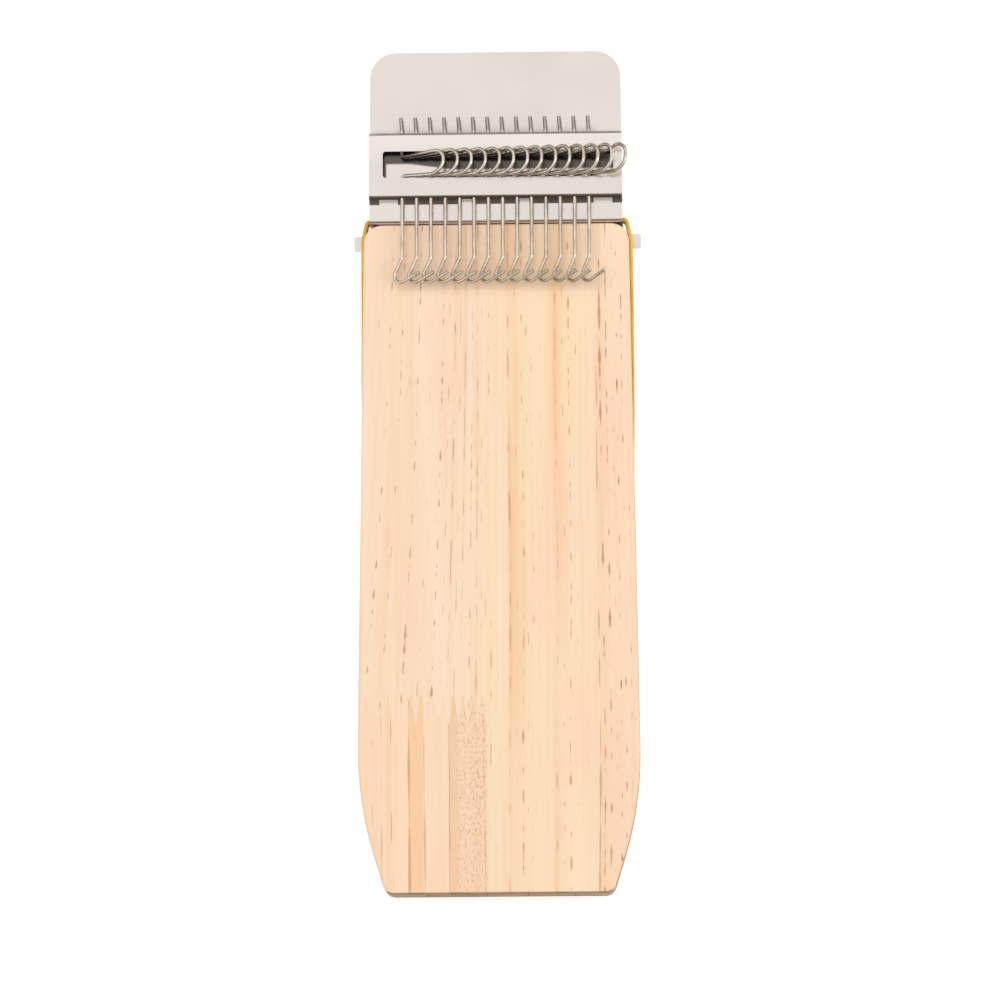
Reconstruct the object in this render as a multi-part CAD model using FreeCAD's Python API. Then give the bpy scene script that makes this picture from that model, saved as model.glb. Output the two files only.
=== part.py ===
import FreeCAD, Part
import math
import os

# A small darning loom lying on its back: a pine board, a bent steel head hooked on to the
# board's end and held by a rubber band, and a row of wire hooks that turn together in the head.
# Millimetres. +Y runs from the board's tapered end to the steel handle, +Z up out of the board.
# The origin is under the middle of the whole loom, on the surface that it rests on.

Vector = FreeCAD.Vector
os.makedirs("parts", exist_ok=True)

overrun = 1.0                   # how far a cutting shape runs past what it cuts

# Board
board_length = 180.0
board_width = 75.0              # at its widest
board_thickness = 12.0
side_widening = 4.0             # how much narrower the board is at the head end
widest_from_end = 39.4
taper_angle = 17.0              # slant of the tapered end's sides, degrees
taper_radius = 95.0
taper_corner_radius = 3.0
head_corner_radius = 5.0
edge_rounding = 0.8

# Groove round the board's edge, and the rubber band in it
groove_width = 6.2
groove_depth = 2.2
groove_corner_radius = 2.0
band_width = 5.6
band_thickness = 1.0
band_gap = 0.1                  # between the band and what it is stretched over
band_head_corner_radius = 0.8
band_corner_aside = 0.45        # the band's head corner beyond the plate's side edge
band_side_bend_from_head = 3.5
band_side_bend_radius = 8.0

# Glued staves: joint lines across the board, measured from its centre line
inner_joint_x = -3.1
outer_joint_x = -13.2
right_joint_x = 26.4
finger_joint_from_end = 48.7
finger_length = 8.0
finger_pitch = 3.0
finger_tip = 0.5
finger_root = 0.12              # flat left between two fingers

# Base plate: one bent sheet, from the handle to the foot under the board
plate_sheet = 0.8
plate_lift = 0.2                # between the board's face and the plate's underside
plate_inset = 1.6               # plate's side edge inside the board's side
handle_reach = 46.6             # from the board's end to the handle's top edge
handle_narrowing = 0.3
handle_corner_radius = 7.0
bend_inner_radius = 0.5
foot_gap = 0.1                  # between the foot's edge and the rebate's step
foot_length = 12.0
foot_inset = 3.1
foot_corner_radius = 2.0
lug_past_bend = 0.05            # where the lugs start, past the foot's bend
lug_length = 3.85
lug_standout = 2.25             # lug beyond the band's outer side
lug_corner_radius = 0.4

# Heddle bridge: the slotted sheet that carries the hooks
bridge_sheet = 0.6
bridge_top_from_head = 24.1
bridge_bend_from_head = 6.8
bridge_foot_from_head = 5.15
bridge_outer_radius = 0.9
slot_middle_from_head = 15.45
slot_height = 7.2
slot_corner_radius = 0.8
slot_end_margin = 5.8           # slot beyond the outermost wires
slot_aside = 0.7                # slot's middle to the right of the wires' middle
tongue_middle_beyond_wire = 3.7
outer_window_width = 5.0
window_side_gap = 1.13          # inner window's side to a wire's centre line
window_back_from_head = 6.15    # the flange is cut back to here, and the tongues stand behind
tongue_gap = 0.1
tongue_below_plate = 0.5

# Wire hooks
hook_count = 14
hook_margin = 8.85              # outermost wire's centre line to the plate's side edge
wire_diameter = 1.0
axis_above_board = 3.4
face_gap = 0.2                  # between a wire lying straight and the bridge's face sheet
bearing_gap = 0.08              # radial, in the bridge's top flange
guide_gap = 0.25                # radial, in the bridge's lower flange
shingle_gap = 0.25              # between one loop and the next when they lie over
tilt_spread = 14.0              # last loop's tilt above the first one's, degrees
wire_top_from_head = 28.4
wire_end_lean = 0.3             # the wire's top end leans aside by this much
wire_end_bend_radius = 3.0
loop_reach = 11.9
leg_gap = 0.15                  # between a loop's legs and the slot's edges
leg_rise = 0.75
crank_radius = 0.9
knee_radius = 4.0
nose_top_radius = 2.3
nose_foot_radius = 4.1
first_nose_lift = 0.8           # the loop's outer corner above the slot, first and last hook
last_nose_lift = 2.4
hook_bend_past_head = 9.6
hook_bend_radius = 1.5
hook_turn_out = 4.45            # corner of the hook's turn, sideways from the wire's axis
hook_turn_down = 8.9            # and down from the hook's bend
hook_turn_radius = 1.8
hook_tip_out = 4.95
hook_tip_down = 4.3

# Places along the loom
overall_length = board_length + handle_reach
board_end_y = -overall_length / 2
head_y = board_end_y + board_length
handle_y = head_y + handle_reach

# Heights
plate_bottom_z = board_thickness + plate_lift
plate_top_z = plate_bottom_z + plate_sheet
wire_radius = wire_diameter / 2
axis_z = board_thickness + axis_above_board
face_inner_z = axis_z + wire_radius + face_gap
face_outer_z = face_inner_z + bridge_sheet

# Widths and hook pitch
board_half = board_width / 2
board_head_half = board_half - side_widening / 2
plate_half = board_head_half - plate_inset
last_wire_x = plate_half - hook_margin
wire_pitch = 2 * last_wire_x / (hook_count - 1)
band_inner_half = board_half - groove_depth + band_gap
lug_half = band_inner_half + band_thickness + lug_standout


def in_plan(point):
    return Vector(point.x, point.y, 0)


def in_side_view(point):
    return Vector(0, point.x, point.y)


def rounded_wire(corners, place, closed=True):
    """A wire through corners (a, b, radius), each corner rounded by a tangent arc."""
    count = len(corners)
    enters, middles, leaves = [], [], []
    for index, (a, b, radius) in enumerate(corners):
        corner = Vector(a, b, 0)
        if radius == 0:
            enters.append(corner)
            middles.append(None)
            leaves.append(corner)
            continue
        previous = corners[index - 1]
        following = corners[(index + 1) % count]
        back = (Vector(previous[0], previous[1], 0) - corner).normalize()
        ahead = (Vector(following[0], following[1], 0) - corner).normalize()
        half_turn = (math.pi - back.getAngle(ahead)) / 2
        tangent = radius * math.tan(half_turn)
        inward = (back + ahead).normalize()
        enters.append(corner + back * tangent)
        middles.append(corner + inward * (radius / math.cos(half_turn) - radius))
        leaves.append(corner + ahead * tangent)
    edges = []
    for index in range(count):
        if middles[index] is not None:
            arc = Part.Arc(place(enters[index]), place(middles[index]), place(leaves[index]))
            edges.append(arc.toShape())
        if index == count - 1 and not closed:
            break
        start = place(leaves[index])
        end = place(enters[(index + 1) % count])
        if start.distanceToPoint(end) > 1e-6:
            edges.append(Part.LineSegment(start, end).toShape())
    return Part.Wire(edges)


def mirrored(right_side):
    """A closed outline from its right side, listed from the head end down."""
    return right_side + [(-x, y, radius) for x, y, radius in reversed(right_side)]


def plan_slab(corners, low_z, high_z):
    face = Part.Face(rounded_wire(corners, in_plan))
    face.translate(Vector(0, 0, low_z))
    return face.extrude(Vector(0, 0, high_z - low_z))


def box_between(low, high):
    size = [high[k] - low[k] for k in range(3)]
    return Part.makeBox(size[0], size[1], size[2], Vector(*low))


def side_extrusion(corners, half_width):
    """A bent sheet: its section in the Y-Z plane, run across the loom."""
    face = Part.Face(rounded_wire(corners, in_side_view))
    face.translate(Vector(-half_width, 0, 0))
    return face.extrude(Vector(2 * half_width, 0, 0))


def single_solid(shape, name):
    shape = shape.removeSplitter()
    if len(shape.Solids) != 1 or not shape.isValid():
        raise ValueError(name + " is not one valid solid")
    return shape.Solids[0]


def save(shape, name):
    single_solid(shape, name).exportStep("parts/" + name + ".step")


# The tapered end: where the sides' lines, the slants and the end meet
taper = math.radians(taper_angle)
side_lean = math.atan2(side_widening / 2, board_length - widest_from_end)
shoulder_tangent = taper_radius * math.tan((side_lean + taper) / 2)
shoulder_x = board_half + shoulder_tangent * math.sin(side_lean)
shoulder_y = board_end_y + widest_from_end - shoulder_tangent * math.cos(side_lean)
end_corner_x = shoulder_x - (shoulder_y - board_end_y) * math.tan(taper)


def slant_corners(inset, side_x):
    """Corners of the tapered end set in by inset, below straight sides at side_x."""
    slant_x = end_corner_x - inset / math.cos(taper)
    turn_y = board_end_y + (side_x - slant_x) / math.tan(taper)
    foot_x = slant_x + inset * math.tan(taper)
    return [
        (side_x, turn_y, taper_radius - inset),
        (foot_x, board_end_y + inset, groove_corner_radius),
    ]


def make_board():
    outline = mirrored([
        (board_head_half, head_y, head_corner_radius),
        (shoulder_x, shoulder_y, taper_radius),
        (end_corner_x, board_end_y, taper_corner_radius),
    ])
    slab = plan_slab(outline, 0, board_thickness)
    rims = [edge for edge in slab.Edges if edge.BoundBox.ZLength < edge_rounding / 2]
    slab = slab.makeFillet(edge_rounding, rims)
    groove_low = (board_thickness - groove_width) / 2
    groove_high = groove_low + groove_width
    around = box_between(
        (-board_width, board_end_y - board_width, groove_low),
        (board_width, head_y + board_width, groove_high),
    )
    floor_half = board_half - groove_depth
    core_top = (floor_half, head_y + board_width + overrun, 0)
    core_side = [core_top] + slant_corners(groove_depth, floor_half)
    groove = around.cut(plan_slab(mirrored(core_side), groove_low - overrun, groove_high + overrun))
    rebate = box_between(
        (-board_width, head_y - foot_length - foot_gap, -overrun),
        (board_width, head_y + overrun, plate_sheet),
    )
    relief = bend_inner_radius
    bend_relief = side_extrusion([
        (head_y - relief, plate_sheet, 0),
        (head_y + relief, plate_sheet, 0),
        (head_y + relief, plate_sheet + 2 * relief, 0),
    ], board_width)
    return slab.cut(groove).cut(rebate).cut(bend_relief)


def finger_joint_region(left_x, right_x):
    """The space below the finger joint, between two joint lines."""
    joint_y = board_end_y + finger_joint_from_end
    low_y = joint_y - finger_length / 2
    high_y = joint_y + finger_length / 2
    corners = [(left_x, board_end_y - overrun, 0), (right_x, board_end_y - overrun, 0)]
    finger_count = math.ceil((right_x - left_x) / finger_pitch)
    step = (right_x - left_x) / finger_count
    for number in range(finger_count):
        finger_right = right_x - number * step
        corners.append((finger_right, low_y, 0))
        corners.append((finger_right - (step - finger_tip) / 2, high_y, 0))
        corners.append((finger_right - (step + finger_tip) / 2, high_y, 0))
        corners.append((finger_right - step + finger_root, low_y, 0))
    corners.append((left_x, low_y, 0))
    return plan_slab(corners, -overrun, board_thickness + overrun)


def make_staves(board):
    """The board cut into its glued pieces of wood."""
    beyond = board_width
    low = board_end_y - overrun
    high = head_y + overrun

    def strip(left_x, right_x):
        return box_between((left_x, low, -overrun), (right_x, high, board_thickness + overrun))

    left_of_joint = board.common(strip(-beyond, inner_joint_x))
    below_left = finger_joint_region(-beyond, outer_joint_x)
    below_inner = finger_joint_region(outer_joint_x, inner_joint_x)
    return {
        "stave_left_upper": left_of_joint.cut(below_left).cut(below_inner),
        "stave_left_lower": board.common(below_left),
        "stave_inner_lower": board.common(below_inner),
        "stave_middle": board.common(strip(inner_joint_x, right_joint_x)),
        "stave_right": board.common(strip(right_joint_x, beyond)),
    }


def make_band():
    """One closed loop: outside the plate's end flange, then down the groove round the taper."""
    flange_outside = head_y + plate_sheet
    side = [
        (plate_half + band_corner_aside, flange_outside + 2 * band_gap, band_head_corner_radius),
        (band_inner_half, head_y - band_side_bend_from_head, band_side_bend_radius),
    ]
    side = side + slant_corners(groove_depth - band_gap, band_inner_half)
    inner = Part.Face(rounded_wire(mirrored(side), in_plan))
    ring = inner.makeOffset2D(band_thickness).cut(inner)
    ring.translate(Vector(0, 0, (board_thickness - band_width) / 2))
    return ring.extrude(Vector(0, 0, band_width))


def wire_x(number):
    return -last_wire_x + number * wire_pitch


def window_spans():
    """Left and right side of each window, where the bridge's tongues go through the plate."""
    hook_before = hook_count // 2 + 1
    inner_left = wire_x(hook_before) + window_side_gap - wire_radius
    inner_right = wire_x(hook_before + 1) - window_side_gap + wire_radius
    outer_middle = last_wire_x + tongue_middle_beyond_wire
    outer_left = outer_middle - outer_window_width / 2
    outer_right = outer_middle + outer_window_width / 2
    spans = [(inner_left, inner_right), (outer_left, outer_right)]
    return spans + [(-right, -left) for left, right in spans]


def make_base_plate():
    flange_outside = head_y + plate_sheet
    bend_outer_radius = bend_inner_radius + plate_sheet
    foot_end_y = head_y - foot_length
    section = [
        (handle_y, plate_top_z, 0),
        (head_y, plate_top_z, bend_outer_radius),
        (head_y, plate_sheet, bend_inner_radius),
        (foot_end_y, plate_sheet, 0),
        (foot_end_y, 0, 0),
        (flange_outside, 0, bend_outer_radius),
        (flange_outside, plate_bottom_z, bend_inner_radius),
        (handle_y, plate_bottom_z, 0),
    ]
    foot_half = board_head_half - foot_inset
    foot_start_y = head_y - bend_outer_radius
    lug_high_y = foot_start_y - lug_past_bend
    lug_low_y = lug_high_y - lug_length
    side = [
        (plate_half - handle_narrowing, handle_y, handle_corner_radius),
        (plate_half, head_y + bridge_bend_from_head, 0),
        (plate_half, foot_start_y, 0),
        (foot_half, foot_start_y, 0),
        (foot_half, lug_high_y, 0),
        (lug_half, lug_high_y, lug_corner_radius),
        (lug_half, lug_low_y, lug_corner_radius),
        (foot_half, lug_low_y, 0),
        (foot_half, foot_end_y, foot_corner_radius),
    ]
    sheet = side_extrusion(section, lug_half + overrun)
    plate = sheet.common(plan_slab(mirrored(side), -overrun, plate_top_z + overrun))
    tongue_y = head_y + window_back_from_head
    for left, right in window_spans():
        plate = plate.cut(box_between(
            (left, tongue_y - tongue_gap, plate_bottom_z - overrun),
            (right, tongue_y + bridge_sheet + tongue_gap, plate_top_z + overrun),
        ))
    return plate


def make_bridge():
    top_y = head_y + bridge_top_from_head
    bend_y = head_y + bridge_bend_from_head
    foot_y = head_y + bridge_foot_from_head
    slope = (bend_y - foot_y) / (face_outer_z - plate_top_z)
    sheet_across = bridge_sheet * math.hypot(1, slope)
    inner_bend_y = bend_y - slope * bridge_sheet + sheet_across
    inner_radius = bridge_outer_radius - bridge_sheet
    section = [
        (top_y, plate_top_z, 0),
        (top_y, face_outer_z, bridge_outer_radius),
        (bend_y, face_outer_z, bridge_outer_radius),
        (foot_y, plate_top_z, 0),
        (foot_y + sheet_across, plate_top_z, 0),
        (inner_bend_y, face_inner_z, inner_radius),
        (top_y - bridge_sheet, face_inner_z, inner_radius),
        (top_y - bridge_sheet, plate_top_z, 0),
    ]
    bridge = side_extrusion(section, plate_half)
    slot_half = last_wire_x + slot_end_margin
    slot_low_y = head_y + slot_middle_from_head - slot_height / 2
    slot_high_y = slot_low_y + slot_height
    slot_outline = mirrored([
        (slot_half, slot_high_y, slot_corner_radius),
        (slot_half, slot_low_y, slot_corner_radius),
    ])
    slot = plan_slab(slot_outline, face_inner_z - overrun, face_outer_z + overrun)
    slot.translate(Vector(slot_aside, 0, 0))
    bridge = bridge.cut(slot)
    flange_holes = [
        (top_y - bridge_sheet, top_y, bearing_gap),
        (foot_y, bend_y + sheet_across, guide_gap),
    ]
    for number in range(hook_count):
        for low_y, high_y, gap in flange_holes:
            start = Vector(wire_x(number), low_y - overrun, axis_z)
            length = high_y - low_y + 2 * overrun
            bridge = bridge.cut(Part.makeCylinder(wire_radius + gap, length, start, Vector(0, 1, 0)))
    tongue_y = head_y + window_back_from_head
    window_top_z = plate_top_z + (tongue_y - foot_y) / slope
    for left, right in window_spans():
        bridge = bridge.cut(box_between(
            (left, foot_y - overrun, plate_top_z - overrun),
            (right, tongue_y, window_top_z),
        ))
        tongue = box_between(
            (left + tongue_gap, tongue_y, plate_bottom_z - tongue_below_plate),
            (right - tongue_gap, tongue_y + bridge_sheet, window_top_z - bridge_sheet / 2),
        )
        bridge = bridge.fuse(tongue)
    return bridge


first_tilt = math.asin((wire_diameter + shingle_gap) / wire_pitch)


def make_hook(number):
    """One wire: its straight stem turns in the bridge, its loop stands out of the slot."""
    share = number / (hook_count - 1)
    tilt = first_tilt + math.radians(tilt_spread) * share
    nose_lift = first_nose_lift + (last_nose_lift - first_nose_lift) * share
    slot_low_y = head_y + slot_middle_from_head - slot_height / 2
    leg_low_y = slot_low_y + wire_radius + leg_gap
    leg_high_y = slot_low_y + slot_height - wire_radius - leg_gap
    knee_out = (face_outer_z - axis_z + leg_gap + wire_radius) / math.sin(first_tilt)
    bend_y = head_y - hook_bend_past_head
    end_bend_y = head_y + bridge_top_from_head + wire_radius
    route = [
        (-wire_end_lean, head_y + wire_top_from_head, 0),
        (0, end_bend_y, wire_end_bend_radius),
        (0, leg_high_y - leg_rise, crank_radius),
        (knee_out, leg_high_y, knee_radius),
        (loop_reach, leg_high_y + nose_lift, nose_top_radius),
        (loop_reach, leg_low_y, nose_foot_radius),
        (0, leg_low_y, crank_radius),
        (0, bend_y, hook_bend_radius),
        (-hook_turn_out, bend_y - hook_turn_down, hook_turn_radius),
        (hook_tip_out, bend_y - hook_tip_down, 0),
    ]

    def in_tilted_plane(point):
        return Vector(
            wire_x(number) + point.x * math.cos(tilt),
            point.y,
            axis_z + point.x * math.sin(tilt),
        )

    path = rounded_wire(route, in_tilted_plane, closed=False)
    start = path.Edges[0].Vertexes[0].Point
    along = path.Edges[0].tangentAt(path.Edges[0].FirstParameter)
    section = Part.Wire(Part.makeCircle(wire_radius, start, along))
    return path.makePipeShell([section], True, False)


staves = make_staves(make_board())
for stave_name in staves:
    save(staves[stave_name], stave_name)
save(make_band(), "rubber_band")
save(make_base_plate(), "base_plate")
save(make_bridge(), "heddle_bridge")
for hook_number in range(hook_count):
    save(make_hook(hook_number), "heddle_hook_{:02d}".format(hook_number + 1))
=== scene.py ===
import math

import bmesh
import bpy
from mathutils import Euler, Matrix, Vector, noise


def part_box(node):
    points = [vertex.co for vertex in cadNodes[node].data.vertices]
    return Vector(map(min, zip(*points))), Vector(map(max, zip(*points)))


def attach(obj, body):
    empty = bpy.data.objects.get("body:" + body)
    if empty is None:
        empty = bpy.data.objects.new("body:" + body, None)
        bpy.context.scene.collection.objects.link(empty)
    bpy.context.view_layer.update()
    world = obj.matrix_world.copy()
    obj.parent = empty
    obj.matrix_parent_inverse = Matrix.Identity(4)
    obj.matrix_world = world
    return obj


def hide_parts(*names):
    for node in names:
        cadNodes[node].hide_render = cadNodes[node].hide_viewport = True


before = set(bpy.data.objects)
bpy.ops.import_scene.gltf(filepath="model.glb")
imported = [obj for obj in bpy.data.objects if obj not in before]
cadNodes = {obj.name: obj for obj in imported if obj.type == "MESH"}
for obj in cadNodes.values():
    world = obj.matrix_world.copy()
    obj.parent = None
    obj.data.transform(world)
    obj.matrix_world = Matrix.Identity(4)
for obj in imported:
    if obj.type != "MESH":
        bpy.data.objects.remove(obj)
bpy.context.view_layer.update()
mm = 0.001


def linear(red, green, blue):
    # screen colour (0 to 255) to the shader's own linear colour
    def channel(value):
        share = value / 255
        return share / 12.92 if share <= 0.04045 else ((share + 0.055) / 1.055) ** 2.4
    return (channel(red), channel(green), channel(blue), 1.0)


staveBoxes = [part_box(name) for name in cadNodes if name.startswith("stave")]
boardLow = Vector([min(box[0][k] for box in staveBoxes) for k in range(3)])
boardHigh = Vector([max(box[1][k] for box in staveBoxes) for k in range(3)])
boardTop = boardHigh.z
headEnd = boardHigh.y
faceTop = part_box("heddle_bridge")[1][2]    # the bridge's slotted face
print("frame loaded,", len(cadNodes), "nodes, board from", tuple(boardLow), "to", tuple(boardHigh))

# camera and light

viewSetup = {
    "distance": 2.0,
    "towardsTail": 8.0,        # degrees off straight down, towards the tapered end
    "towardsRight": 2.0,
    "roll": -0.28,
    "lens": 269.9,
    "aim": (0.0007, -0.0082),
}


def placeCamera():
    data = bpy.data.cameras.new("viewCamera")
    data.lens = viewSetup["lens"]
    data.sensor_width = 36.0
    data.clip_end = 10.0
    camera = bpy.data.objects.new("viewCamera", data)
    bpy.context.scene.collection.objects.link(camera)
    aim = Vector((viewSetup["aim"][0], viewSetup["aim"][1], boardTop))
    tail = math.radians(viewSetup["towardsTail"])
    right = math.radians(viewSetup["towardsRight"])
    away = Vector((math.tan(right), -math.tan(tail), 1.0)).normalized()
    camera.location = aim + away * viewSetup["distance"]
    look = (-away).to_track_quat("-Z", "Y").to_matrix()
    # turn about the view axis until the head points up the picture, less the small roll
    up = look.inverted() @ Vector((0, 1, 0))
    spin = math.atan2(up.x, up.y)
    turn = Euler((0, 0, math.radians(viewSetup["roll"]) - spin)).to_matrix()
    camera.rotation_euler = (look @ turn).to_euler()
    bpy.context.scene.camera = camera


def addSoftbox(name, place, size, power, mirrored=True):
    data = bpy.data.lights.new(name, "AREA")
    data.shape = "RECTANGLE"
    data.size = size[0]
    data.size_y = size[1]
    data.energy = power
    data.color = studioLight["lampTint"]
    lamp = bpy.data.objects.new(name, data)
    bpy.context.scene.collection.objects.link(lamp)
    lamp.location = place
    lamp.visible_glossy = mirrored
    lamp.rotation_euler = (Vector((0, 0, 0)) - Vector(place)).to_track_quat("-Z", "Y").to_euler()


studioLight = {
    # how bright the surroundings are at each height: 0 at the horizon, 1 straight above
    "sky": [(0.0, 0.14), (0.5, 0.17), (0.7, 0.34), (0.82, 1.0), (1.0, 1.11)],
    "sideLift": 0.34,            # the sides are brighter than the ends
    "skyTint": (1.0, 0.992, 0.982),
    "keyPlace": (-0.25, 0.55, 2.1),
    "keySize": (1.5, 1.5),
    "keyPower": 13.0,
    "fillPlace": (1.1, -0.25, 0.9),
    "fillSize": (0.5, 0.9),
    "fillPower": 3.0,
    "lampTint": (1.0, 0.992, 0.98),
    "floorColour": (0.95, 0.95, 0.948, 1),
    "floorHalf": 3.0,            # m
    "floorDrop": 0.0003,         # m, keeps the floor off the object's underside
    "floorGlow": 0.38,           # a light table, so the object's shadow stays faint
}


def makeStudio():
    world = bpy.data.worlds.new("studioWorld")
    bpy.context.scene.world = world
    world.use_nodes = True
    tree = world.node_tree
    coord = tree.nodes.new("ShaderNodeTexCoord")
    split = tree.nodes.new("ShaderNodeSeparateXYZ")
    ramp = tree.nodes.new("ShaderNodeValToRGB")
    tree.links.new(coord.outputs["Generated"], split.inputs[0])
    sideways = tree.nodes.new("ShaderNodeMath")
    sideways.operation = "ABSOLUTE"
    lift = tree.nodes.new("ShaderNodeMath")
    lift.operation = "MULTIPLY_ADD"
    lift.inputs[1].default_value = studioLight["sideLift"]
    tree.links.new(split.outputs["X"], sideways.inputs[0])
    tree.links.new(sideways.outputs[0], lift.inputs[0])
    tree.links.new(split.outputs["Z"], lift.inputs[2])
    tree.links.new(lift.outputs[0], ramp.inputs[0])
    tree.links.new(ramp.outputs[0], tree.nodes["Background"].inputs["Color"])
    stops = ramp.color_ramp.elements
    while len(stops) < len(studioLight["sky"]):
        stops.new(0.5)
    for stop, (height, level) in zip(stops, studioLight["sky"]):
        stop.position = height
        stop.color = [level * tint for tint in studioLight["skyTint"]] + [1]
    addSoftbox("keyBox", studioLight["keyPlace"], studioLight["keySize"], studioLight["keyPower"], False)
    addSoftbox("fillBox", studioLight["fillPlace"], studioLight["fillSize"], studioLight["fillPower"])
    bpy.context.scene.view_settings.view_transform = "Standard"


def makeFloor():
    size = studioLight["floorHalf"]
    mesh = bpy.data.meshes.new("floor")
    corners = [(-size, -size, 0), (size, -size, 0), (size, size, 0), (-size, size, 0)]
    mesh.from_pydata(corners, [], [(0, 1, 2, 3)])
    floor = bpy.data.objects.new("floor", mesh)
    floor.location.z = -studioLight["floorDrop"]
    bpy.context.scene.collection.objects.link(floor)
    paper = bpy.data.materials.new("paleFloor")
    paper.use_nodes = True
    surface = paper.node_tree.nodes["Principled BSDF"].inputs
    surface["Base Color"].default_value = studioLight["floorColour"]
    surface["Roughness"].default_value = 0.9
    surface["Emission Color"].default_value = (1, 1, 1, 1)
    surface["Emission Strength"].default_value = studioLight["floorGlow"]
    mesh.materials.append(paper)


placeCamera()
makeStudio()
makeFloor()
print("camera, studio and floor placed")


# a short way to build node materials

class Shader:
    def __init__(self, name):
        self.material = bpy.data.materials.new(name)
        self.material.use_nodes = True
        self.tree = self.material.node_tree
        self.surface = self.tree.nodes["Principled BSDF"]
        self.coord = self.tree.nodes.new("ShaderNodeTexCoord").outputs["Object"]

    def plug(self, value, socket):
        if isinstance(value, bpy.types.NodeSocket):
            self.tree.links.new(value, socket)
        else:
            socket.default_value = value

    def math(self, operation, first, second=0.0, clamp=False):
        node = self.tree.nodes.new("ShaderNodeMath")
        node.operation = operation
        node.use_clamp = clamp
        self.plug(first, node.inputs[0])
        self.plug(second, node.inputs[1])
        return node.outputs[0]

    def stretch(self, scale, offset=(0, 0, 0)):
        node = self.tree.nodes.new("ShaderNodeMapping")
        self.tree.links.new(self.coord, node.inputs["Vector"])
        node.inputs["Scale"].default_value = scale
        node.inputs["Location"].default_value = offset
        return node.outputs[0]

    def noise(self, scale, offset=(0, 0, 0), detail=2.0, roughness=0.5, distortion=0.0):
        node = self.tree.nodes.new("ShaderNodeTexNoise")
        self.tree.links.new(self.stretch(scale, offset), node.inputs["Vector"])
        node.inputs["Scale"].default_value = 1.0
        node.inputs["Detail"].default_value = detail
        node.inputs["Roughness"].default_value = roughness
        node.inputs["Distortion"].default_value = distortion
        return node.outputs["Fac"]

    def between(self, value, low, high, newLow=0.0, newHigh=1.0):
        node = self.tree.nodes.new("ShaderNodeMapRange")
        node.interpolation_type = "SMOOTHSTEP"
        self.plug(value, node.inputs["Value"])
        node.inputs["From Min"].default_value = low
        node.inputs["From Max"].default_value = high
        node.inputs["To Min"].default_value = newLow
        node.inputs["To Max"].default_value = newHigh
        return node.outputs[0]

    def ramp(self, value, stops):
        node = self.tree.nodes.new("ShaderNodeValToRGB")
        self.plug(value, node.inputs[0])
        elements = node.color_ramp.elements
        elements[0].position, elements[0].color = stops[0]
        elements[1].position, elements[1].color = stops[-1]
        for position, colour in stops[1:-1]:
            elements.new(position).color = colour
        return node.outputs[0]

    def mix(self, share, first, second, blend="MIX"):
        node = self.tree.nodes.new("ShaderNodeMix")
        node.data_type = "RGBA"
        node.blend_type = blend
        self.plug(share, node.inputs[0])
        self.plug(first, node.inputs[6])
        self.plug(second, node.inputs[7])
        return node.outputs[2]

    def bump(self, height, strength, distance):
        node = self.tree.nodes.new("ShaderNodeBump")
        self.plug(height, node.inputs["Height"])
        node.inputs["Strength"].default_value = strength
        node.inputs["Distance"].default_value = distance
        return node.outputs[0]

    def axis(self, name):
        node = self.tree.nodes.new("ShaderNodeSeparateXYZ")
        self.tree.links.new(self.coord, node.inputs[0])
        return node.outputs[name]

    def paintedCloseShade(self, reach, strength):
        # painted shade: nothing in the open, up to strength where other surfaces stand close
        node = self.tree.nodes.new("ShaderNodeAmbientOcclusion")
        node.samples = 8
        node.inputs["Distance"].default_value = reach
        return self.between(node.outputs["AO"], 0.8, 0.05, 0.0, strength)

    def product(self, first, *others):
        for other in others:
            first = self.math("MULTIPLY", first, other)
        return first

    def facing(self, name):
        geometry = self.tree.nodes.new("ShaderNodeNewGeometry")
        node = self.tree.nodes.new("ShaderNodeSeparateXYZ")
        self.tree.links.new(geometry.outputs["True Normal"], node.inputs[0])
        return self.math("ABSOLUTE", node.outputs[name])


def paint(nodeName, material):
    mesh = cadNodes[nodeName].data
    mesh.materials.clear()
    mesh.materials.append(material)


# pine staves

pine = {
    "halfWidth": 38.0,             # mm, what the streaks span each side of the middle
    "ringSlant": 0.5,              # how far the growth rings lean through the thickness
    "wander": 1.3,                 # mm, how far a growth line strays along the board
    "dashFineness": 1.8,           # higher gives shorter and more dashes
    "depth": (0.93, 0.92, 0.935, 1),     # brings every wood colour down to suit this light
    "blush": linear(250, 214, 188),
    "shortGrain": linear(240, 200, 156),
    "poreDark": linear(222, 166, 132),
    "poreLight": linear(252, 222, 196),
    "ringsPerUnit": 165.0,         # how close the fine growth lines stand
    "ringStrength": 0.08,
    "pale": linear(252, 228, 200),
    "cream": linear(250, 222, 190),
    "peach": linear(248, 216, 184),
    "honey": linear(244, 206, 160),
    "tan": linear(236, 190, 140),
    "routed": (0.72, 0.7, 0.72, 1),      # how much darker the wood is below the planed face
    # end grain colours, darkened further as painted shade on the end faces
    "endGrainShaded": linear(136, 106, 82),
    "endRingsShaded": linear(100, 74, 52),
    # soft bands across the board: mm from the middle and the colour there
    "streaks": [
        (-37.0, "cream"), (-33.0, "peach"), (-30.5, "cream"), (-28.3, "honey"), (-26.5, "cream"),
        (-22.6, "peach"), (-20.0, "cream"), (-15.6, "peach"), (-13.5, "cream"), (-11.6, "honey"),
        (-10.4, "cream"), (-9.0, "honey"), (-7.6, "pale"), (-5.6, "honey"), (-4.2, "cream"),
        (0.5, "pale"), (2.1, "cream"), (2.7, "tan"), (3.8, "honey"), (7.0, "cream"),
        (11.0, "pale"), (14.2, "cream"), (14.9, "tan"), (16.4, "honey"), (18.4, "cream"),
        (22.0, "pale"), (25.6, "cream"), (27.2, "honey"), (30.0, "peach"), (33.0, "peach"),
        (37.0, "cream"),
    ],
}


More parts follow.
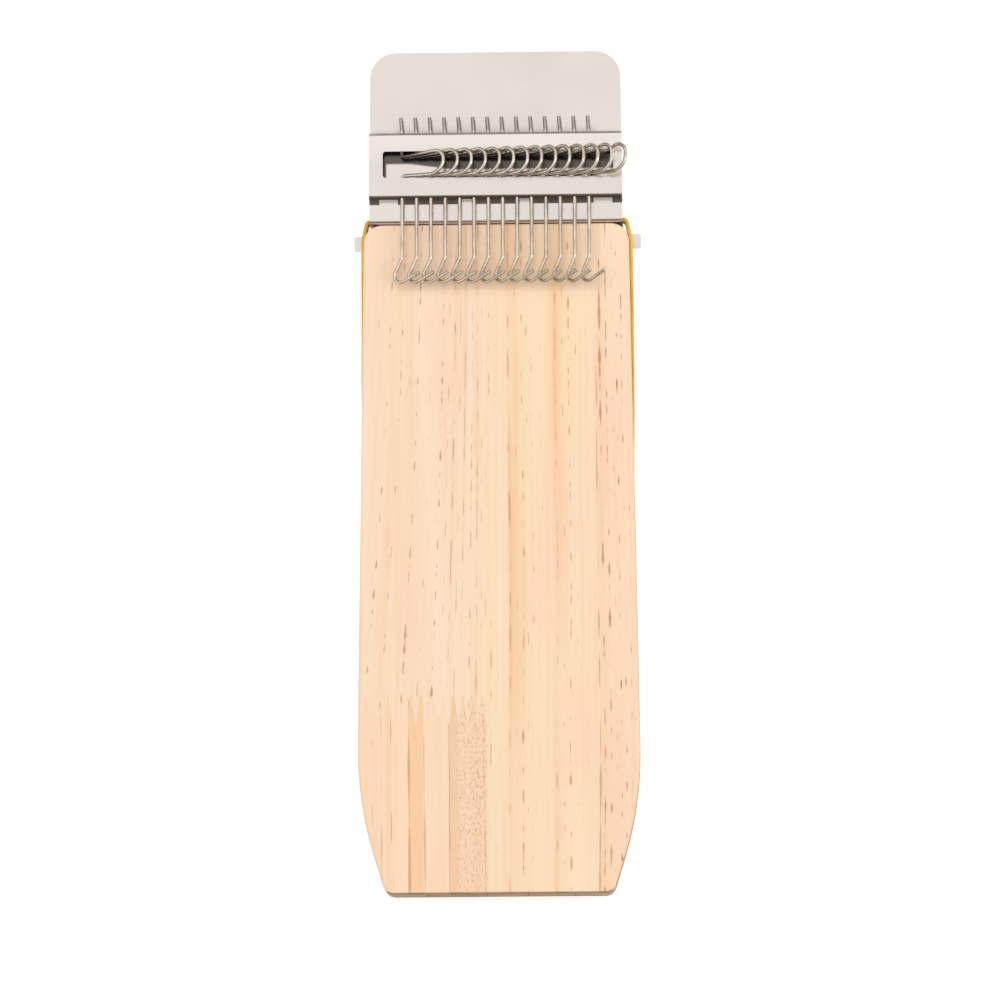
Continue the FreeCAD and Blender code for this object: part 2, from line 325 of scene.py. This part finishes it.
def growthLine(shade, bent, number, line):
    # one row of resin dashes, pointed at both ends, or an unbroken line where gaps is low
    place, wide, strength, gaps, perMetre = line
    offset = shade.math("ABSOLUTE", shade.math("SUBTRACT", bent, place * mm))
    finer = pine["dashFineness"]
    along = shade.noise((0, perMetre * finer, 0), (number * 3.17, number * 17.3 + place, 0), detail=1.0)
    depth = shade.math("SUBTRACT", along, shade.math("MULTIPLY", offset, 0.2 * finer / (wide * mm) / 1.3))
    return shade.between(depth, gaps - 0.02, gaps + 0.05, 0.0, strength)


def pineMaterial(name, seed, tint, dashColour, lines, fan=0.0, strip=None, rough=False):
    shade = Shader(name)
    drift = seed * 7.31
    leaning = shade.math("MULTIPLY", shade.math("SUBTRACT", shade.axis("Z"), boardTop), pine["ringSlant"])
    across = shade.math("ADD", shade.axis("X"), leaning)
    wander = shade.noise((14, 9, 10), (drift, 0, 0), detail=1.5)
    wander = shade.math("MULTIPLY", shade.math("SUBTRACT", wander, 0.5), 2 * pine["wander"] * mm)
    bent = shade.math("ADD", across, wander)
    if fan:
        # the lines lean over more and more towards the left side
        lean = shade.math("MULTIPLY", shade.math("MINIMUM", across, 0.0), fan)
        bent = shade.math("ADD", bent, shade.math("MULTIPLY", lean, shade.axis("Y")))
    span = 2 * pine["halfWidth"] * mm
    place = shade.math("ADD", shade.math("DIVIDE", bent, span), 0.5)
    stops = [((x + pine["halfWidth"]) * mm / span, pine[colour]) for x, colour in pine["streaks"]]
    colour = shade.ramp(place, stops)
    # the bands come and go along the board
    coming = shade.noise((150, 14, 100), (drift, 3, 1), detail=2.0)
    colour = shade.mix(shade.between(coming, 0.38, 0.62, 0.3, 0.85), colour, pine["cream"])
    narrow = shade.noise((430, 7, 300), (drift, 6, 1), detail=2.0, roughness=0.6)
    colour = shade.mix(shade.between(narrow, 0.5, 0.72, 0.0, 0.35), colour, pine["honey"])
    wide = shade.noise((110, 6, 80), (drift + 4, 9, 2), detail=2.0)
    colour = shade.mix(shade.between(wide, 0.5, 0.7, 0.0, 0.6), colour, pine["pale"])
    blush = shade.noise((90, 16, 60), (drift + 2, 4, 7), detail=2.0)
    colour = shade.mix(shade.between(blush, 0.52, 0.7, 0.0, 0.5), colour, pine["blush"])
    # fibres, hardly seen on the planed faces
    fibre = shade.noise((2400, 60, 2400), (drift, 0, 0), detail=3.0, roughness=0.65)
    colour = shade.mix(shade.between(fibre, 0.48, 0.75, 0.0, 0.16), colour, pine["tan"])
    if strip:
        middle, wide, stripColour = strip
        offCentre = shade.math("ABSOLUTE", shade.math("SUBTRACT", across, middle * mm))
        inStrip = shade.between(offCentre, wide * 0.46 * mm, wide * 0.52 * mm, 0.8, 0.0)
        colour = shade.mix(inStrip, colour, stripColour)
    if rough:
        speckle = shade.noise((2600, 1100, 2600), (drift, 1, 1), detail=1.5, roughness=0.6, distortion=0.8)
        # the left side of the rough stave is smoother and yellower
        roughness = shade.between(across, -12.4 * mm, -9.0 * mm, 0.25, 1.0)
        yellower = shade.between(across, -11.6 * mm, -10.0 * mm, 0.75, 0.3)
        colour = shade.mix(yellower, colour, pine["shortGrain"])
        darker = shade.math("MULTIPLY", shade.between(speckle, 0.52, 0.66, 0.0, 0.7), roughness)
        lighter = shade.math("MULTIPLY", shade.between(speckle, 0.5, 0.36, 0.0, 0.5), roughness)
        colour = shade.mix(darker, colour, pine["poreDark"])
        colour = shade.mix(lighter, colour, pine["poreLight"])
    # fine growth lines between the rows of dashes
    wave = shade.tree.nodes.new("ShaderNodeTexWave")
    wave.bands_direction = "X"
    joined = shade.tree.nodes.new("ShaderNodeCombineXYZ")
    shade.plug(bent, joined.inputs[0])
    shade.plug(shade.math("MULTIPLY", shade.axis("Y"), 0.03), joined.inputs[1])
    shade.plug(joined.outputs[0], wave.inputs["Vector"])
    wave.inputs["Scale"].default_value = pine["ringsPerUnit"]
    wave.inputs["Distortion"].default_value = 1.8
    wave.inputs["Detail"].default_value = 2.0
    wave.inputs["Detail Scale"].default_value = 1.2
    growth = shade.between(wave.outputs["Fac"], 0.62, 1.0)
    showing = shade.between(shade.noise((70, 12, 50), (drift, 5, 5)), 0.42, 0.62, 0.0, pine["ringStrength"])
    colour = shade.mix(shade.math("MULTIPLY", growth, showing), colour, pine["tan"])
    dashes = None
    for number, line in enumerate(lines):
        row = growthLine(shade, bent, number + seed * 11, line)
        dashes = row if dashes is None else shade.math("MAXIMUM", dashes, row)
    colour = shade.mix(dashes, colour, dashColour)
    colour = shade.mix(1.0, colour, tint, "MULTIPLY")
    # end grain soaks up more and looks darker; the end faces are darkened further as painted shade
    endShare = shade.between(shade.facing("Y"), 0.55, 0.85)
    rings = shade.noise((420, 60, 260), (drift, 0, 3), detail=2.0, distortion=0.6)
    shadedEndColour = shade.mix(shade.between(rings, 0.4, 0.65), pine["endGrainShaded"], pine["endRingsShaded"])
    colour = shade.mix(endShare, colour, shade.mix(0.1, shadedEndColour, colour))
    # the routed groove and the lower edge are made darker than the planed face
    routed = shade.between(shade.axis("Z"), boardTop - 1.6 * mm, boardTop - 3.0 * mm)
    colour = shade.mix(routed, colour, shade.mix(1.0, colour, pine["routed"], "MULTIPLY"))
    colour = shade.mix(1.0, colour, pine["depth"], "MULTIPLY")
    shade.plug(colour, shade.surface.inputs["Base Color"])
    shade.plug(shade.between(fibre, 0.3, 0.7, 0.52, 0.66), shade.surface.inputs["Roughness"])
    shade.surface.inputs["Specular IOR Level"].default_value = 0.3
    relief = shade.math("SUBTRACT", fibre, shade.math("MULTIPLY", dashes, 1.2))
    if rough:
        relief = shade.math("ADD", relief, shade.math("MULTIPLY", speckle, 1.6))
    shade.plug(shade.bump(relief, 0.3, 0.1 * mm), shade.surface.inputs["Normal"])
    return shade.material


# each line: mm from the middle, width in mm, strength, how much of it is gaps, dashes per metre
staves = {
    "stave_left_upper": {
        "seed": 1, "tint": (1.0, 1.01, 1.035, 1), "fan": 2.1, "dashColour": linear(166, 120, 84),
        "lines": [
            (-34.2, 0.36, 0.4, 0.58, 130), (-30.8, 0.42, 0.62, 0.52, 140), (-27.2, 0.38, 0.5, 0.56, 150),
            (-24.6, 0.3, 0.3, 0.6, 120), (-22.4, 0.42, 0.62, 0.5, 130), (-18.8, 0.34, 0.36, 0.57, 120),
            (-15.5, 0.42, 0.62, 0.5, 140), (-13.6, 0.3, 0.34, 0.5, 75), (-12.0, 0.36, 0.5, 0.49, 85),
            (-10.4, 0.28, 0.3, 0.5, 60), (-9.0, 0.34, 0.36, 0.46, 60), (-7.0, 0.36, 0.44, 0.52, 130),
            (-5.4, 0.4, 0.4, 0.47, 70), (-4.2, 0.3, 0.36, 0.52, 110), (-3.2, 0.26, 0.3, 0.5, 60),
        ]},
    "stave_left_lower": {
        "seed": 2, "tint": (1.0, 0.99, 0.985, 1), "dashColour": linear(178, 124, 82),
        "strip": (-22.0, 4.0, linear(246, 204, 158)),
        "lines": [
            (-24.05, 0.34, 0.5, 0.34, 30), (-20.0, 0.28, 0.42, 0.4, 30), (-31.4, 0.6, 0.24, 0.42, 30),
            (-28.8, 0.34, 0.5, 0.5, 60), (-13.4, 0.34, 0.4, 0.3, 20), (-33.8, 0.3, 0.3, 0.54, 80),
        ]},
    "stave_inner_lower": {
        "seed": 3, "tint": (1.0, 0.99, 0.985, 1), "rough": True, "dashColour": linear(190, 134, 92),
        "lines": [(-12.95, 0.5, 0.45, 0.32, 30), (-3.35, 0.34, 0.35, 0.38, 40)]},
    "stave_middle": {
        "seed": 4, "tint": (1.0, 0.995, 0.95, 1), "dashColour": linear(190, 122, 72),
        "lines": [
            (-2.4, 0.36, 0.45, 0.54, 120), (-0.6, 0.28, 0.22, 0.58, 90), (2.7, 0.5, 0.46, 0.48, 60),
            (4.6, 0.34, 0.3, 0.56, 80), (6.3, 0.46, 0.56, 0.5, 110), (7.6, 0.34, 0.36, 0.57, 120),
            (8.9, 0.36, 0.4, 0.58, 140), (11.4, 0.3, 0.34, 0.61, 120), (15.3, 0.4, 0.4, 0.52, 90),
            (17.2, 0.36, 0.42, 0.54, 120), (18.9, 0.4, 0.6, 0.51, 130), (20.8, 0.36, 0.5, 0.59, 130),
            (23.6, 0.28, 0.26, 0.6, 100),
        ]},
    "stave_right": {
        "seed": 5, "tint": (1.0, 0.99, 0.985, 1), "dashColour": linear(168, 106, 68),
        "lines": [
            (26.6, 0.42, 0.45, 0.4, 45), (27.9, 0.46, 0.6, 0.5, 90), (29.6, 0.42, 0.6, 0.53, 110),
            (31.2, 0.3, 0.36, 0.57, 110), (32.4, 0.38, 0.85, 0.54, 110), (33.7, 0.34, 0.8, 0.55, 120),
            (35.2, 0.3, 0.4, 0.58, 100),
        ]},
}
for staveName, settings in staves.items():
    paint(staveName, pineMaterial(staveName.replace("stave", "pine"), **settings))
print("pine staves painted")


# rubber band: one stretched loop in the groove, bridging from the steel head to the board's sides

band = {
    "thickness": 1.0,              # mm
    "width": 5.5,
    "cornerAside": 0.45,           # its head corner beyond the steel plate's side
    "bendFromHead": 3.5,           # where its sides turn straight
    "slant": 17.0,                 # degrees, as the board's tapered end
    "endCorner": 30.2,             # the board's end corner, mm from the middle
    "taperRadius": 94.0,
    "headCornerRadius": 1.3,
    "sideBendRadius": 8.0,
    "tailCornerRadius": 2.5,
    "step": 1.3,
    "bow": 0.34,                   # how far the right side stands out of the groove near the head
    "bowLength": 70.0,
    "ripple": 0.05,
    "edgeRounding": 0.32,          # share of the thickness
    "hollow": 0.07,                # how far each broad face dips in, as a share of the thickness
    "widthVaries": 0.035,          # share of the width
    "thicknessVaries": 0.05,
    "heightVaries": 0.14,          # mm, how far the band strays up and down in its groove
    "leanVaries": 0.05,
    "amber": linear(236, 192, 70),
    "amberDeep": linear(216, 166, 48),
    "amberPale": linear(246, 212, 110),
}


def roundedLoop(corners, step):
    # points round a closed outline: corners are (x, y, radius), arcs stepped evenly
    points = []
    count = len(corners)
    for index, (x, y, radius) in enumerate(corners):
        corner = Vector((x, y))
        back = (Vector(corners[index - 1][:2]) - corner).normalized()
        ahead = (Vector(corners[(index + 1) % count][:2]) - corner).normalized()
        halfTurn = (math.pi - back.angle(ahead)) / 2
        centre = corner + (back + ahead).normalized() * radius / math.cos(halfTurn)
        first = corner + back * radius * math.tan(halfTurn) - centre
        turn = -2 * halfTurn if back.cross(ahead) > 0 else 2 * halfTurn
        pieces = max(4, int(abs(radius * turn) / step))
        for piece in range(pieces + 1):
            spin = turn * piece / pieces
            points.append(centre + Vector((
                first.x * math.cos(spin) - first.y * math.sin(spin),
                first.x * math.sin(spin) + first.y * math.cos(spin),
            )))
    filled = []
    for index, point in enumerate(points):
        following = points[(index + 1) % len(points)]
        run = (following - point).length
        pieces = max(1, round(run / step))
        filled += [point.lerp(following, piece / pieces) for piece in range(pieces)]
    return filled


def bandSection(width, thickness):
    # rounded strip, a little thicker at its cut edges than in the middle
    radius = thickness * band["edgeRounding"]
    points = []
    cornerX = thickness / 2 - radius
    cornerZ = width / 2 - radius
    for sideX, sideZ, start in ((1, 1, 0), (-1, 1, 90), (-1, -1, 180), (1, -1, 270)):
        for piece in range(5):
            angle = math.radians(start + 90 * piece / 4)
            across = sideX * cornerX + radius * math.cos(angle)
            up = sideZ * cornerZ + radius * math.sin(angle)
            points.append((across, up))
        side = points[-1]
        if start in (90, 270):
            out = -1 if start == 90 else 1
            for share in (0.75, 0.5, 0.25):
                height = side[1] * (2 * share - 1)
                hollow = thickness * band["hollow"] * (1 - (2 * share - 1) ** 2)
                points.append((out * (thickness / 2 - hollow), height))
    return points


def bandMaterial():
    shade = Shader("amberRubber")
    cloudy = shade.noise((60, 60, 260), (1, 2, 3), detail=3.0, roughness=0.6)
    streaky = shade.noise((180, 180, 2600), (4, 1, 0), detail=2.0, roughness=0.6)
    dusty = shade.noise((900, 900, 900), (2, 7, 1), detail=3.0, roughness=0.7)
    colour = shade.mix(shade.between(cloudy, 0.35, 0.65), band["amber"], band["amberDeep"])
    colour = shade.mix(shade.between(streaky, 0.5, 0.7, 0.0, 0.4), colour, band["amberPale"])
    colour = shade.mix(shade.between(dusty, 0.58, 0.75, 0.0, 0.25), colour, band["amberPale"])
    shade.plug(colour, shade.surface.inputs["Base Color"])
    shade.surface.inputs["Subsurface Weight"].default_value = 0.35
    shade.surface.inputs["Subsurface Radius"].default_value = (1.6 * mm, 0.8 * mm, 0.2 * mm)
    shade.surface.inputs["Subsurface Scale"].default_value = 1.0
    shade.surface.inputs["Specular IOR Level"].default_value = 0.4
    shade.plug(shade.between(dusty, 0.35, 0.7, 0.34, 0.5), shade.surface.inputs["Roughness"])
    height = shade.math("ADD", streaky, shade.math("MULTIPLY", dusty, 0.5))
    shade.plug(shade.bump(height, 0.25, 0.08 * mm), shade.surface.inputs["Normal"])
    return shade.material


def makeBand():
    low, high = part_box("rubber_band")
    half = band["thickness"] * mm / 2
    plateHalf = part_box("heddle_bridge")[1][0]
    slant = math.radians(band["slant"])
    sideX = high[0] - half
    tailY = low[1] + half
    inset = tailY - boardLow.y
    slantX = band["endCorner"] * mm - inset / math.cos(slant)
    right = [
        (plateHalf + band["cornerAside"] * mm + half, high[1] - half,
         band["headCornerRadius"] * mm),
        (sideX, headEnd - band["bendFromHead"] * mm, band["sideBendRadius"] * mm),
        (sideX, boardLow.y + (sideX - slantX) / math.tan(slant), band["taperRadius"] * mm),
        (slantX + inset * math.tan(slant), tailY, band["tailCornerRadius"] * mm),
    ]
    loop = roundedLoop(right + [(-x, y, radius) for x, y, radius in reversed(right)], band["step"] * mm)
    count = len(loop)
    mesh = bmesh.new()
    rings = []
    middleZ = (low[2] + high[2]) / 2
    for index, point in enumerate(loop):
        along = (loop[(index + 1) % count] - loop[index - 1]).normalized()
        outward = Vector((-along.y, along.x))
        if outward.dot(point) < 0:
            outward = -outward
        spot = Vector((point.x, point.y, 0)) / mm
        ripple = noise.noise(spot * 0.11) * band["ripple"]
        fromHead = (headEnd - point.y) / mm
        bow = 0.0
        if point.x > 0 and 0 < fromHead < band["bowLength"]:
            bow = band["bow"] * math.sin(math.pi * fromHead / band["bowLength"]) ** 0.8
        wider = band["widthVaries"] * noise.noise(spot * 0.05 + Vector((7, 0, 0)))
        width = band["width"] * (1 + wider)
        thicker = band["thicknessVaries"] * noise.noise(spot * 0.07 + Vector((0, 9, 0)))
        thickness = band["thickness"] * (1 + thicker)
        drop = band["heightVaries"] * noise.noise(spot * 0.04 + Vector((3, 3, 0)))
        lean = band["leanVaries"] * noise.noise(spot * 0.06 + Vector((0, 0, 5)))
        ring = []
        for out, up in bandSection(width, thickness):
            reach = (out + ripple + bow + lean * up) * mm
            place = (point.x + outward.x * reach, point.y + outward.y * reach, middleZ + (up + drop) * mm)
            ring.append(mesh.verts.new(place))
        rings.append(ring)
    for index, ring in enumerate(rings):
        following = rings[(index + 1) % count]
        for side in range(len(ring)):
            beside = (side + 1) % len(ring)
            mesh.faces.new((ring[side], ring[beside], following[beside], following[side]))
    bmesh.ops.recalc_face_normals(mesh, faces=mesh.faces)
    data = bpy.data.meshes.new("stretchedBand")
    mesh.to_mesh(data)
    mesh.free()
    for face in data.polygons:
        face.use_smooth = True
    piece = bpy.data.objects.new("stretched_band", data)
    bpy.context.scene.collection.objects.link(piece)
    data.materials.append(bandMaterial())
    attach(piece, "loom")
    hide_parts("rubber_band")
    print("rubber band built,", count, "sections round the loop")


makeBand()


# sheet steel and wire

steel = {
    "sheet": linear(222, 214, 208),
    "sheetDull": linear(213, 205, 199),
    "paintedLightGain": (1.14, 1.14, 1.15, 1),    # painted light: the bridge's face beyond its slot, against the rest
    # painted shade on the bridge's lower flange
    "paintedBridgeShading": linear(108, 96, 84),
    "wire": linear(222, 212, 198),
    "wireDark": linear(186, 174, 158),
    "wireEnd": linear(138, 130, 122),
    "shaded": linear(48, 41, 36),
    # mm, how close other surfaces must stand to paint shade on each of them
    "sheetShadeReach": 3.0,
    "wireShadeReach": 1.6,
    # mm past the board's end, from where a change starts to where it is complete
    "underBridge": (6.0, 9.0),
    "slotLow": (10.5, 11.8),
    "slotHigh": (23.5, 22.5),
    "slotShade": (15.95, 16.55),
    "paintedLightSpan": (14.0, 21.0),
    "flangeBack": (9.0, 7.5),
    "legsLow": (15.0, 17.5),
    "legsHigh": (22.5, 21.0),
    "wireEndFrom": (24.2, 25.2),
    # the shade in the slot comes down by this much for each mm right of the first loop
    "shadeSlope": 0.138,
    "shadeSlopeFrom": -23.0,
    "shadeDeepest": 1.6,
    "shadeStrength": 0.88,
    "shadeAtLeft": (-29.2, -29.6),         # mm from the middle, along the slot's left end
    "plateTop": (3.0, 2.0),                # mm above the board, all of the plate is below
    "flangeRise": (1.0, 4.4),
    "sunk": (2.2, -0.2),                   # mm above the bridge's face
}


def pastHead(shade, place, low=0.0, high=1.0):
    return shade.between(shade.axis("Y"), headEnd + place[0] * mm, headEnd + place[1] * mm, low, high)


def aboveLevel(shade, level, place, low=0.0, high=1.0):
    return shade.between(shade.axis("Z"), level + place[0] * mm, level + place[1] * mm, low, high)


def slotShade(shade):
    # the loops' upper legs keep the light off the plate behind them
    strength = steel["shadeStrength"]
    rightwards = shade.math("SUBTRACT", shade.axis("X"), steel["shadeSlopeFrom"] * mm)
    deeper = shade.math("MULTIPLY", rightwards, steel["shadeSlope"])
    deeper = shade.math("MINIMUM", shade.math("MAXIMUM", deeper, 0.0), steel["shadeDeepest"] * mm)
    lowEdge, highEdge = [headEnd + place * mm for place in steel["slotShade"]]
    behind = shade.between(shade.math("ADD", shade.axis("Y"), deeper), lowEdge, highEdge, 0.0, strength)
    openSide, darkSide = [place * mm for place in steel["shadeAtLeft"]]
    atLeft = shade.between(shade.axis("X"), openSide, darkSide, 0.0, strength)
    return shade.product(
        shade.math("MAXIMUM", behind, atLeft),
        pastHead(shade, steel["slotLow"]),
        pastHead(shade, steel["slotHigh"]),
        aboveLevel(shade, boardTop, steel["plateTop"]),
    )


def sheetSteelMaterial(name, seed, paintedBridgeShading=False):
    shade = Shader(name)
    drift = seed * 3.9
    brushed = shade.noise((90, 5200, 5200), (drift, 0, 0), detail=3.0, roughness=0.6)
    cloudy = shade.noise((45, 60, 60), (drift, 4, 0), detail=3.0)
    smudge = shade.noise((140, 110, 110), (drift, 8, 2), detail=4.0, roughness=0.6, distortion=0.8)
    colour = shade.mix(shade.between(cloudy, 0.35, 0.7, 0.0, 0.6), steel["sheet"], steel["sheetDull"])
    # painted shade where other parts stand close, fading in over the underBridge span past the board's end
    closeShadeShare = shade.paintedCloseShade(steel["sheetShadeReach"] * mm, 1.0)
    closeShadeShare = shade.product(closeShadeShare, pastHead(shade, steel["underBridge"]))
    colour = shade.mix(closeShadeShare, colour, steel["shaded"])
    colour = shade.mix(slotShade(shade), colour, steel["shaded"])
    # painted light on the bridge's face and painted shade on its lower flange
    if paintedBridgeShading:
        # painted light on the bridge's face beyond its slot
        paintedLitColour = shade.mix(1.0, colour, steel["paintedLightGain"], "MULTIPLY")
        colour = shade.mix(pastHead(shade, steel["paintedLightSpan"], 0.0, 0.8), colour, paintedLitColour)
        # painted shade: the lower flange is darker towards its bend
        flange = shade.product(
            shade.between(shade.facing("Y"), 0.6, 0.85),
            aboveLevel(shade, boardTop, steel["flangeRise"], 0.25, 1.0),
            pastHead(shade, steel["flangeBack"]),
        )
        colour = shade.mix(flange, colour, steel["paintedBridgeShading"])
    shade.plug(colour, shade.surface.inputs["Base Color"])
    shade.surface.inputs["Metallic"].default_value = 1.0
    brushing = shade.between(brushed, 0.3, 0.7, 0.17, 0.21)
    dull = shade.math("ADD", brushing, shade.between(smudge, 0.5, 0.75, 0.0, 0.04))
    shade.plug(dull, shade.surface.inputs["Roughness"])
    shade.plug(shade.bump(brushed, 0.04, 0.01 * mm), shade.surface.inputs["Normal"])
    return shade.material


def wireSteelMaterial(name):
    shade = Shader(name)
    drawn = shade.noise((3500, 160, 3500), roughness=0.6)
    patches = shade.noise((420, 260, 420), (3, 1, 2), detail=3.0)
    colour = shade.mix(shade.between(patches, 0.4, 0.7, 0.0, 0.6), steel["wire"], steel["wireDark"])
    # painted shade where other parts stand close to the wire
    colour = shade.mix(shade.paintedCloseShade(steel["wireShadeReach"] * mm, 0.9), colour, steel["shaded"])
    # the upper legs lie in the shade of the slot
    sunk = shade.product(
        aboveLevel(shade, faceTop, steel["sunk"], 0.0, 0.8),
        pastHead(shade, steel["legsLow"]),
        pastHead(shade, steel["legsHigh"]),
    )
    colour = shade.mix(sunk, colour, steel["shaded"])
    colour = shade.mix(pastHead(shade, steel["wireEndFrom"], 0.0, 0.6), colour, steel["wireEnd"])
    shade.plug(colour, shade.surface.inputs["Base Color"])
    shade.surface.inputs["Metallic"].default_value = 1.0
    shade.plug(shade.between(drawn, 0.3, 0.7, 0.17, 0.3), shade.surface.inputs["Roughness"])
    shade.plug(shade.bump(drawn, 0.12, 0.02 * mm), shade.surface.inputs["Normal"])
    return shade.material


paint("base_plate", sheetSteelMaterial("sheetSteelPlate", 1))
paint("heddle_bridge", sheetSteelMaterial("sheetSteelBridge", 2, paintedBridgeShading=True))
wireSteel = wireSteelMaterial("drawnWire")
hookNames = sorted(name for name in cadNodes if name.startswith("heddle_hook"))
for hookName in hookNames:
    paint(hookName, wireSteel)
print("steel head and", len(hookNames), "wire hooks painted")
